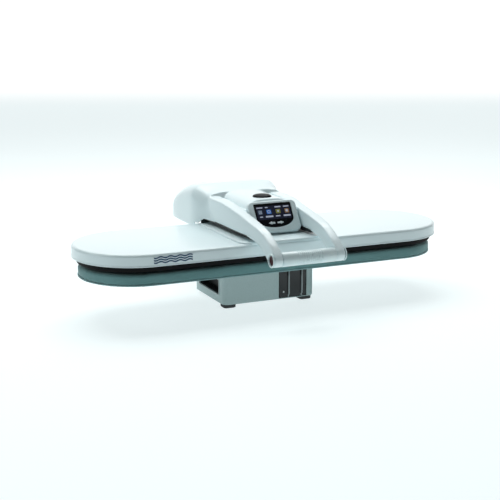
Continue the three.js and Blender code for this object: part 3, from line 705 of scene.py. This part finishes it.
def screws(name, body, places, axis, radius=3.2):
    """Domed cross-headed screws at some places, all along one axis."""
    bm = bmesh.new()
    for place in places:
        turned(bm, [(0, -1), (radius, -1), (radius, 0.2), (radius * 0.8, 0.9), (0, 1.25)], place, axis, 24)
    heads = make(bm, name, bright_steel)
    facing = Vector(axis).to_track_quat("Z", "Y").to_matrix().to_4x4()
    slots = bmesh.new()
    for place in places:
        for size in ((radius * 1.1, radius * 0.24, 2.2), (radius * 0.24, radius * 1.1, 2.2)):
            shape = Matrix.Translation(place) @ facing @ Matrix.Translation((0, 0, 1.55 * MM))
            bmesh.ops.create_cube(slots, size=1, matrix=shape @ Matrix.Diagonal((*(Vector(size) * MM), 1)))
    cross = make(slots, "cross", bright_steel)
    cut = heads.modifiers.new("cut", "BOOLEAN")
    cut.operation, cut.object, cut.solver, cut.use_self = "DIFFERENCE", cross, "EXACT", True
    applied(heads)
    bpy.data.objects.remove(cross)
    soften(heads.data, 35)
    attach(heads, body)


screws("tower_screws", "root", [at(x, 382, z) for x in (-62, 62) for z in (24, 156)], (0, 1, 0))
bm = bmesh.new()
for x, z in ((-6, 39), (0, 42), (6, 39)):
    middle = at(x, 377, z)
    shape = Matrix.Translation(middle) @ Matrix.Diagonal((0.0018, 0.016, 0.0042, 1))
    cube = bmesh.ops.create_cube(bm, size=1, matrix=shape)["verts"]
    round_edges(bm, {e for v in cube for e in v.link_edges}, 0.0004, 2)
pins = make(bm, "inlet_pins", bright_steel)
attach(pins, "root")

# Water tank
# Smoked clear plastic drawer in the base's bay: a thin-walled box with two half-round ribs down its
# front, with a painted highlight as a pale band along each rib, a small level float showing through, and a
# filler cap on top.
RIBS = (55, 93)
smoked, shade, place = finish("tank_smoke", IOR=1.5, Specular_IOR_Level=0.3, Coat_Roughness=0.03)
cloud = shade.noise(place, 40.0, 3.0)
across = shade.node("SeparateXYZ", {}, {"Vector": place}, "X")
# Painted highlight: a pale band down the middle of each rib stands in for the strip lamp's reflection.
HALF_RIB_HIGHLIGHT = 0.0028
painted_rib_highlight = 0
for x in RIBS:
    off_middle = shade.maths("ABSOLUTE", across - x * MM)
    painted_rib_highlight = painted_rib_highlight + shade.maths("MAXIMUM", 1 - off_middle * (1 / HALF_RIB_HIGHLIGHT), 0.0)
smoke = shade.mix(cloud, (0.002, 0.004, 0.005, 1), (0.010, 0.017, 0.019, 1))
feed(
    smoked,
    Base_Color=shade.mix(painted_rib_highlight * 0.8, smoke, (0.42, 0.50, 0.51, 1)),
    Roughness=0.07 + 0.05 * cloud,
    Coat_Weight=0.25 + 0.1 * cloud,
    Normal=bump(shade, shade.noise(place, 220.0), 0.03, 0.0003),
)
bm = bmesh.new()
box(bm, at(28, 110, 12.6), at(107, 292, 94), 0.003, 0.0015, 5)
tank = make(bm, "tank_moulding", smoked)
ribs = []
for x in RIBS:
    rod = bmesh.new()
    profile = [(0, -34), (2.5, -34), (4, -31), (4, 31), (2.5, 34), (0, 34)]
    turned(rod, profile, at(x, 110, 53.5), (0, 0, 1), 32)
    ribs.append(make(rod, "rib", smoked))
carve(tank, *ribs, operation="UNION")
inside = block("inside", at(30.5, 115.5, 15.1), at(104.5, 289.5, 91.5), 0.004)
fill = bmesh.new()
turned(fill, [(0, -8), (14, -8), (14, 4), (0, 4)], at(67, 150, 94), (0, 0, 1), 48)
carve(tank, inside, make(fill, "fill", smoked))
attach(tank, "tank")
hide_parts("water_tank")

pale_mark = cast("float_white", (0.55, 0.6, 0.6), 0.0, 0.4, 500.0)
bm = bmesh.new()
turned(bm, [(0, -0.4), (2.6, -0.4), (2.6, 0.1), (2.1, 0.5), (0, 0.6)], at(41, 110, 28), (0, -1, 0), 32)
level = make(bm, "level_float", pale_mark)
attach(level, "tank")

bm = bmesh.new()
profile = [
    (0, -3), (13.5, -3), (13.5, 0.4), (16.6, 0.4), (17, 0.9), (17, 2.1), (16.2, 2.8),
    (12, 2.8), (11, 1.8), (0, 1.8),
]
turned(bm, profile, at(67, 150, 94), (0, 0, 1), 72)
cap = make(bm, "cap_moulding", soft_black)
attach(cap, "tank")
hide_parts("tank_cap")

# Arm moulding
# One white moulding, 3 mm thick: a hood that covers the hinge and falls away behind the head, a spine
# running forward to the console, and two rails that spread from the handle to the hood's shoulders.
HOOD_FRONT = [(108, 178), (108, 200), (108, 228), (107.5, 250), (103, 266), (88, 274), (48, 277), (0, 277)]
HOOD_FULL = [(128, 178), (128, 215), (128, 244), (125, 265), (115, 281), (98, 289), (55, 290.8), (0, 290.8)]
HOOD = {"front": 218, "full": 345, "turn": 340, "back": 500, "low": 178}
TILT = math.radians(58)


def along(points, share):
    """A point at a share of a smooth line through a few given points."""
    spot = share * (len(points) - 1)
    start = min(int(spot), len(points) - 2)
    t = spot - start
    last = len(points) - 1
    a, b, c, d = (Vector(points[max(0, min(last, start + k))]) for k in (-1, 0, 1, 2))
    bend = 2 * a - 5 * b + 4 * c - d
    twist = 3 * b - a - 3 * c + d
    return 0.5 * (2 * b + (c - a) * t + bend * t * t + twist * t ** 3)


def smooth_share(value, start, end):
    t = max(0.0, min(1.0, (value - start) / (end - start)))
    return t * t * (3 - 2 * t)


def hood_lean(y, z):
    """The hood's front edge leans back as it rises."""
    return 0.65 * max(0, z - 195) * max(0, 1 - (y - HOOD["front"]) / (HOOD["turn"] - HOOD["front"]))


def hood_point(inset, low):
    """Places a point of the hood's section, at a share of the way round it, set in by its wall."""
    def place(y, share):
        wide = smooth_share(y, HOOD["front"], HOOD["full"])
        t = min(1, max(0, y - HOOD["turn"]) / (HOOD["back"] - inset - HOOD["turn"]))
        drop = 1 - (1 - t ** 1.8) ** 0.8
        up_share = min(share, 0.8 - share) / 0.4 if share < 0.8 else 0
        x, z = along(HOOD_FRONT, up_share).lerp(along(HOOD_FULL, up_share), wide)
        x *= (1 - inset / 118) * (1 - 0.08 * drop ** 3)
        z = HOOD["low"] + (z - HOOD["low"]) * (1 - inset / 105) * (1 - 0.58 * drop)
        if share >= 0.8:
            x, z = x * ((share - 0.8) / 0.1 - 1), low
        elif share > 0.4:
            x = -x
        if up_share < 0.02:
            z = low
        return at(x, y + hood_lean(y, z), z)
    return place


def loft(bm, stations, place, segments):
    """Runs a closed section through stations; place gives its point at a share of the way round."""
    share = bm.verts.layers.float.new("share")
    ring = bmesh.ops.create_circle(bm, cap_ends=True, radius=1, segments=segments)["verts"]
    for number, vert in enumerate(ring):
        vert[share] = number / segments
    cap = ring[0].link_faces[0]
    for number, station in enumerate(stations):
        if number:
            cap = lift(bm, cap, (0, 0, 0), keep=number == 1)
        for vert in cap.verts:
            vert.co = place(station, vert[share])
    bm.verts.layers.float.remove(share)


def hood_solid(name, inset, low, front, back):
    turn = HOOD["turn"]
    stations = [front + (turn - front) * i / 24 for i in range(25)]
    stations += [turn + (back - turn) * math.sin(i / 24 * math.pi / 2) for i in range(1, 25)]
    bm = bmesh.new()
    loft(bm, stations, hood_point(inset, low), 120)
    return make(bm, name, cover_white)


def spine_solid(name, inset, low):
    """The spine: a squarish arch with a front that slants with the console."""
    front = 122 + 1.2 * inset

    def place(y, share):
        if share > 0.8:
            x, z = (71.4 - inset) * ((share - 0.8) / 0.1 - 1), low
        else:
            angle = math.pi * share / 0.8
            wave, rise = math.cos(angle), math.sin(angle)
            x = (71.4 - inset) * math.copysign(abs(wave) ** (2 / 3.6), wave)
            z = low + (277 - inset - low) * abs(rise) ** (2 / 3.6)
        slant = (z - 277) / math.tan(TILT) if y == front else 0
        return at(x, y + slant, z)

    bm = bmesh.new()
    loft(bm, [front, 290], place, 140)
    return make(bm, name, cover_white)


RAIL_TOP = [(171, 264), (122, 257), (60, 248), (0, 237), (-33, 229), (-58, 219), (-87, 203), (-113.7, 181.7)]
RAIL_FOOT = [(-88.3, 156.3), (-72, 164), (-58, 175), (-36, 189), (-12, 197), (10, 201), (30, 205.7)]
EYE = {"y": -101, "z": 169, "radius": 17.6}


def rail_solid(side):
    """One side rail, from the hood's shoulder to the eye round the handle's end."""
    rear = [(240, 206.5), (250, 240), (262, 266.5)]
    outline = rear + [tuple(along([(215, 266.5)] + RAIL_TOP, i / 44)) for i in range(45)]
    for step in range(1, 18):
        angle = math.radians(135 + 180 * step / 18)
        eye_y = EYE["y"] + EYE["radius"] * math.cos(angle)
        outline.append((eye_y, EYE["z"] + EYE["radius"] * math.sin(angle)))
    outline += [tuple(along(RAIL_FOOT, i / 30)) for i in range(31)]
    bm = bmesh.new()
    face = bm.faces.new([bm.verts.new(at(72, y, z)) for y, z in outline])
    lift(bm, face, (0.024, 0, 0), keep=True)
    rail = make(bm, "rail", cover_white)
    grid = rail.modifiers.new("grid", "REMESH")
    grid.mode, grid.voxel_size = "VOXEL", 0.003
    applied(rail)
    for vert in rail.data.vertices:
        y, z = (vert.co.y - head_front) / MM, vert.co.z / MM
        share = (vert.co.x - 0.072) / 0.024
        head, foot = 0.0126 * smooth_share(y, 20, 245), 0.011 * smooth_share(y, -60, 60)
        spread = foot + (head - foot) * smooth_share(z, 207, 268)
        vert.co.x = side * (vert.co.x + spread * share)
    bm = bmesh.new()
    bm.from_mesh(rail.data)
    bpy.data.objects.remove(rail)
    return make(bm, f"rail_{side}", cover_white)


parts = [
    hood_solid("hood", 0, HOOD["low"], HOOD["front"], HOOD["back"]),
    spine_solid("spine", 0, 206),
    rail_solid(-1),
    rail_solid(1),
]
bm = bmesh.new()
for part in parts:
    bm.from_mesh(part.data)
    bpy.data.objects.remove(part)
arm = make(bm, "arm_moulding", cover_white)
grid = arm.modifiers.new("grid", "REMESH")
grid.mode, grid.voxel_size = "VOXEL", 0.0026
relax = arm.modifiers.new("relax", "SMOOTH")
relax.factor, relax.iterations = 0.5, 4
applied(arm)
bm = bmesh.new()
foot_line = [
    (60, 150), (321.5, 150), (321.5, 191.5), (303, 191.5), (279, 206.5), (212, 206.5), (212, 198), (60, 198),
]
face = bm.faces.new([bm.verts.new(at(-200, y, z)) for y, z in foot_line])
lift(bm, face, (0.4, 0, 0), keep=True)
over_head = make(bm, "over_head", cover_white)
dome_hole = bmesh.new()
turned(dome_hole, [(0, -12), (25.2, -12), (25.2, 30), (0, 30)], at(0, 158, 277), (0, 0, 1), 72)
tools = [
    hood_solid("hood_inside", 3, HOOD["low"] - 10, HOOD["front"] + 3, HOOD["back"] - 3),
    spine_solid("spine_inside", 3, 190),
    over_head,
    make(dome_hole, "dome_hole", cover_white),
]
for side in (-1, 1):
    for radius, reach in ((13.4, (78, 120)), (6.0, (60, 90))):
        seat = bmesh.new()
        profile = [(0, reach[0]), (radius, reach[0]), (radius, reach[1]), (0, reach[1])]
        turned(seat, profile, at(0, EYE["y"], EYE["z"]), (side, 0, 0), 64)
        tools.append(make(seat, "seat", cover_white))
carve(arm, *tools)
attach(arm, "arm")
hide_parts("arm_hood", "side_rail_left", "side_rail_right")

# A baffle on each side closes the hood's inside behind the head, down to the hood's lower edge. It is black
# as painted shade for the dark gap there.
for side, name in ((-1, "left"), (1, "right")):
    bm = bmesh.new()
    left, right = sorted((side * 62, side * 103))
    box(bm, at(left, 326, 181), at(right, 329, 236), 0.0012, 0.0, 3)
    shade_baffle = make(bm, f"hood_shade_baffle_{name}", soft_black)
    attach(shade_baffle, "arm")

# Console
# A white tilted housing between the rails, holding a black glass panel with a small colour display and
# two arrow keys. Everything here is drawn flat first, then turned onto the slope.
slope = Matrix.Translation(at(0, 100, 267.5)) @ Matrix.Rotation(TILT, 4, "X")


def flat(x, y, z=0.0):
    return Vector((x, y, z)) * MM


bm = bmesh.new()
box(bm, flat(-68, -78, -13), flat(68, 9, 0), 0.015, 0.0, 10)
rim = [e for e in bm.edges if all(abs(v.co.z) < 1e-6 for v in e.verts)]
round_edges(bm, rim, 0.0045, 7)
console = make(bm, "console_moulding", cover_white)


def screen_outline(half, top, bottom):
    """The glass: square shoulders above, and one wide curve below."""
    corner = 3
    right = []
    for step in range(6):
        angle = math.radians(90 - 90 * step / 5)
        right.append((half - corner + corner * math.cos(angle), top - corner + corner * math.sin(angle)))
    a, b, c, d = (Vector(p) for p in ((half, -40), (half * 0.95, -57), (half * 0.5, bottom), (0, bottom)))
    for step in range(1, 25):
        t = step / 24
        spot = a * (1 - t) ** 3 + b * 3 * t * (1 - t) ** 2 + c * 3 * t * t * (1 - t) + d * t ** 3
        right.append(tuple(spot))
    left = [(-x, y) for x, y in reversed(right[:-1])]
    return right + left


def raised(bm, outline, low, high):
    """A flat outline in millimetres, raised between two levels."""
    face = bm.faces.new([bm.verts.new(flat(x, y, low)) for x, y in outline])
    face.normal_update()
    return lift(bm, face, up((high - low) * MM), keep=True)


bm = bmesh.new()
raised(bm, screen_outline(52.4, 1.4, -65.4), -2.3, 1)
glass_seat = make(bm, "glass_seat", cover_white)
module_seat = block("module_seat", flat(-46, -42, -9), flat(46, -2, 1))
key_seat = block("key_seat", flat(-24, -60, -7), flat(24, -46, 1))
carve(console, glass_seat, module_seat, key_seat)
console.data.transform(slope)
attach(console, "arm")
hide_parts("console_housing")

# The black glass, with a soft ground edge.
glass, shade, place = finish("panel_glass", IOR=1.5, Coat_Weight=0.5, Coat_Roughness=0.02)
cloud = shade.noise(place, 60.0)
feed(
    glass,
    Base_Color=shade.mix(cloud, (0.0025, 0.003, 0.004, 1), (0.006, 0.007, 0.009, 1)),
    Roughness=0.05 + 0.04 * cloud,
)


def arrow(side, grow=0.0):
    """The outline of an arrow key that points away from the middle."""
    points = [
        (-8.6 - grow, -2.2 - grow), (0, -2.2 - grow), (0, -4.2 - grow), (9.5 + 1.5 * grow, 0),
        (0, 4.2 + grow), (0, 2.2 + grow), (-8.6 - grow, 2.2 + grow),
    ]
    return [(side * (12 + x), y - 53) for x, y in points]


bm = bmesh.new()
face = raised(bm, screen_outline(52, 1, -65), -2, 0.2)
round_edges(bm, face.edges, 0.0005, 3)
panel = make(bm, "panel_sheet", glass)
ways = []
for side in (-1, 1):
    bm = bmesh.new()
    raised(bm, arrow(side, 0.4), -3, 2)
    ways.append(make(bm, "way", glass))
carve(panel, *ways)
panel.data.transform(slope)
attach(panel, "arm")
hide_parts("display_glass")

key_white = white_plastic("key_white", (0.78, 0.84, 0.86), 1500.0)
for side, name in ((-1, "left"), (1, "right")):
    bm = bmesh.new()
    face = raised(bm, arrow(side), -4.5, 1)
    round_edges(bm, face.edges, 0.0004, 3)
    key = make(bm, f"arrow_{name}", key_white)
    key.data.transform(slope)
    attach(key, f"arrow_key_{name}")
    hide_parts(f"arrow_key_{name}")


def tile(bm, x0, x1, y0, y1, rise, corner=1.6):
    """A thin rounded tile lying on the glass."""
    box(bm, flat(x0, y0, 0.15), flat(x1, y1, 0.2 + rise), corner * MM, 0.0, 5)


def lit(name, colour, strength, spread):
    """A lit patch of the display, its glow and its unlit colour varied by fine noise."""
    material, shade, place = finish(name, Roughness=0.2, Emission_Strength=strength)
    grain = shade.noise(place, spread)
    dim = tuple(0.62 * part for part in colour) + (1,)
    glow = shade.mix(grain, dim, colour + (1,))
    unlit = shade.mix(grain, (0.01, 0.01, 0.01, 1), (0.02, 0.02, 0.02, 1))
    feed(material, Base_Color=unlit, Emission_Color=glow)
    return material


TILES = [
    ("steel", -45, -31, (0.06, 0.09, 0.13)),
    ("blue", -21, -6, (0.03, 0.13, 0.42)),
    ("olive", 5, 20, (0.15, 0.16, 0.05)),
    ("amber", 30, 44, (0.20, 0.12, 0.06)),
]
bm = bmesh.new()
tile(bm, -47.5, 47.5, -43, -6, 0.02, 2.5)
backlight = make(bm, "display_backlight", lit("display_backlight", (0.006, 0.008, 0.022), 0.9, 90.0))
backlight.data.transform(slope)
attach(backlight, "arm")
for name, x0, x1, colour in TILES:
    bm = bmesh.new()
    tile(bm, x0 + 1, x1 - 1, -28, -16.5, 0.08)
    patch = make(bm, f"display_tile_{name}", lit(f"tile_{name}", colour, 1.0, 160.0))
    patch.data.transform(slope)
    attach(patch, "arm")

# Plain symbols on the tiles: a ring, two discs and three upright lines, with bars above and below.
bm = bmesh.new()
for x0, x1, y0, y1 in (
    (-46, -29, -11.6, -8.6), (-22, -14, -11.4, -8.8), (5, 22, -11.8, -8.4), (29, 45, -11.6, -8.6),
    (-41, -33, -36.6, -33.6), (-25, -4, -37.2, -32.8), (3, 16, -36.4, -33.4), (25, 45, -37.2, -33.0),
):
    tile(bm, x0, x1, y0, y1, 0.10, 1.0)
for centre, inner_radius, outer_radius in ((-13.5, 3.0, 4.4), (12.5, 0.0, 2.6), (37, 0.0, 3.6)):
    profile = [(inner_radius, 0.2), (outer_radius, 0.2), (outer_radius, 0.34), (inner_radius, 0.34)]
    turned(bm, profile + ([profile[0]] if inner_radius else []), flat(centre, -22), (0, 0, 1), 32)
for x in (-41, -38, -35):
    tile(bm, x, x + 1.1, -27, -18, 0.12, 0.5)
symbols = make(bm, "display_symbols", lit("symbol_light", (0.42, 0.47, 0.58), 0.9, 220.0))
symbols.data.transform(slope)
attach(symbols, "arm")

# Power button
# Round domed button of gloss black plastic in the top of the spine, pressed straight down onto its switch.
gloss_black, shade, place = finish("gloss_black", IOR=1.25, Specular_IOR_Level=0.1, Coat_Roughness=0.05)
cloud = shade.noise(place, 30.0)
feed(
    gloss_black,
    Base_Color=shade.mix(cloud, (0.003, 0.004, 0.0045, 1), (0.008, 0.010, 0.011, 1)),
    Roughness=0.16 + 0.08 * cloud,
    Coat_Weight=0.02 + 0.04 * cloud,
    Normal=bump(shade, shade.noise(place, 600.0), 0.04, 0.0003),
)
bm = bmesh.new()
dome = [(0, -12), (5, -12), (5, -3), (24.5, -3), (24.5, 0.6)]
dome += [(24.5 * math.cos(a), 0.6 + 6.6 * math.sin(a)) for a in (i / 10 * math.pi / 2 for i in range(1, 10))]
dome += [(0, 7.2)]
turned(bm, dome, at(0, 158, 277), (0, 0, 1), 96)
button = make(bm, "button_dome", gloss_black)
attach(button, "power_button")
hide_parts("power_button")

# Handle
# A hollow white bar between the rails' eyes, ribbed in its middle for grip, with a ring and a recessed
# dark red steam button in each end.
bar = [(13, -71.7), (16.9, -71.7), (17.5, -71.1)]
for rib in range(-6, 7):
    middle = rib * 5.2
    bar += [(17.5, middle - 1.9), (16.3, middle - 1.1), (16.3, middle + 1.1), (17.5, middle + 1.9)]
bar += [(17.5, 71.1), (16.9, 71.7), (13, 71.7), (13, -71.7)]
bm = bmesh.new()
turned(bm, bar, at(0, EYE["y"], EYE["z"]), (1, 0, 0), 96)
handle_white = white_plastic("handle_white", (0.70, 0.83, 0.85), 1100.0)
handle = make(bm, "handle_bar", handle_white, 50)
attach(handle, "arm")
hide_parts("handle_tube")

deep_red = white_plastic("deep_red", (0.055, 0.012, 0.016), 900.0)
for side, name in ((-1, "left"), (1, "right")):
    bm = bmesh.new()
    ring = [
        (13.4, 0), (17.4, 0), (17.4, 1.1), (17.0, 1.9), (16.0, 2.5), (14.6, 2.6), (13.8, 2.2), (13.4, 1.4),
        (13.4, 0),
    ]
    turned(bm, ring, at(side * 96.75, EYE["y"], EYE["z"]), (side, 0, 0), 80)
    ring_piece = make(bm, f"handle_eye_{name}", handle_white, 50)
    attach(ring_piece, "arm")
    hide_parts(f"handle_ring_{name}")
    bm = bmesh.new()
    disc = [
        (0, -16), (5, -16), (5, -6), (13, -6), (13, 0), (12.6, 0.7), (11.6, 1.1), (9.5, 1.2), (8.5, 0.8),
        (0, 0.4),
    ]
    turned(bm, disc, at(side * 95, EYE["y"], EYE["z"]), (side, 0, 0), 72)
    push = make(bm, f"steam_push_{name}", deep_red)
    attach(push, f"steam_button_{name}")
    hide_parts(f"steam_button_{name}")

# Inner works
# The pieces inside the casings and under the hood keep their own shapes: sprung steel, castings, hoses,
# board, felt and nylon, each in its own finish.
nylon = cast("nylon", (0.72, 0.70, 0.62), 0.0, 0.42, 700.0)
hose = cast("silicone_hose", (0.62, 0.62, 0.58), 0.0, 0.5, 500.0)
felt = cast("felt", (0.60, 0.57, 0.48), 0.0, 0.9, 800.0, 0.9)
green_board = cast("green_board", (0.02, 0.12, 0.06), 0.0, 0.4, 600.0)
spring_wire = cast("spring_wire", (0.34, 0.36, 0.37), 1.0, 0.28, 1500.0)
BY_SLOT = {
    "base_grey": casing_grey,
    "shell_white": cover_white,
    "handle_white": handle_white,
    "dark_plastic": soft_black,
    "rubber": rubber,
    "steel": sheet_steel,
    "spring_steel": spring_wire,
    "cast_metal": cast_alloy,
    "hot_plate": plate_black,
    "pad_fabric": fabric,
    "felt": felt,
    "tank_smoked": smoked,
    "circuit": green_board,
    "hose": hose,
    "nylon": nylon,
    "screen_glass": glass,
    "button_red": deep_red,
    "key_white": key_white,
}
for entry in frame["record"]["subparts"]:
    for place_on in frame["nodes"][entry["node"]].material_slots:
        place_on.material = BY_SLOT[entry["material_slot"]]
